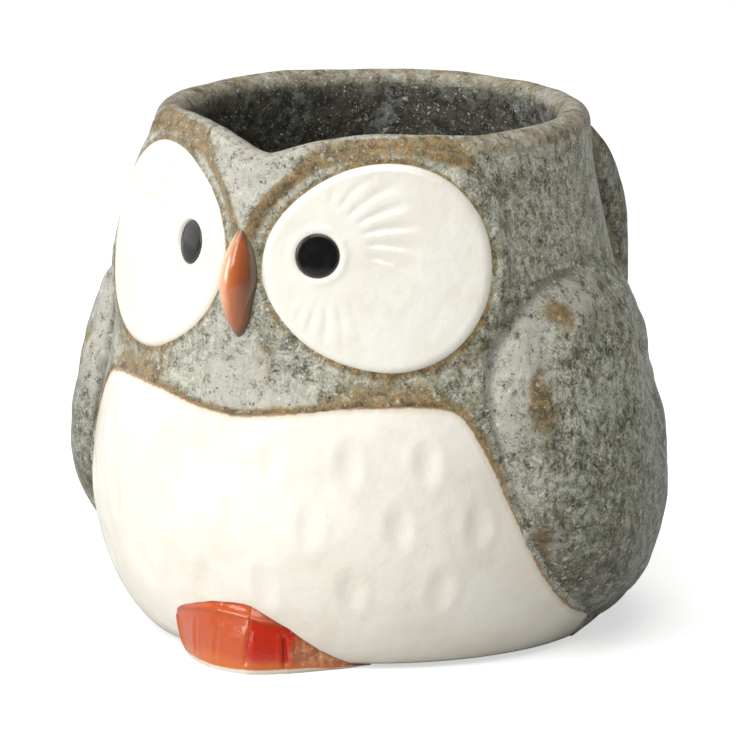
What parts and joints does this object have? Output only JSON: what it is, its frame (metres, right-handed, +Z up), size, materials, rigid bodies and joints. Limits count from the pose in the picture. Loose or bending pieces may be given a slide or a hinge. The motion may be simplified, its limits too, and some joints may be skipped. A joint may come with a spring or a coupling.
{
  "type": "owl mug",
  "caption": "Round-bellied stoneware mug shaped as an owl, with raised eye discs, a beak, folded wings, a white bib, feet and a strap handle.",
  "frame": {"origin": "centre of the foot ring, on the table plane", "axes": "+Z up; the owl looks towards -Y and the handle is at +Y; +X is the owl's own left"},
  "size_m": [0.1052, 0.1281, 0.0911],
  "materials": {
    "grey_glaze": "satin speckled grey-olive ash glaze over stoneware, rust where it breaks thin",
    "cream_glaze": "smooth satin cream-white glaze",
    "white_glaze": "smooth satin off-white glaze",
    "black_glaze": "glossy black glaze, pooled",
    "amber_glaze": "glossy amber-orange glaze, browner at the edges",
    "red_glaze": "glossy orange-red glaze over incised toes",
    "bare_clay": "unglazed fired stoneware, sanded flat"
  },
  "bodies": {
    "root": {"cup_wall": "grey_glaze", "left_wing": "grey_glaze", "right_wing": "grey_glaze", "handle": "grey_glaze", "belly_panel": "cream_glaze", "left_eye_disc": "white_glaze", "right_eye_disc": "white_glaze", "left_pupil": "black_glaze", "right_pupil": "black_glaze", "beak": "amber_glaze", "left_foot": "red_glaze", "right_foot": "red_glaze", "foot_ring": "bare_clay"}
  },
  "joints": []
}
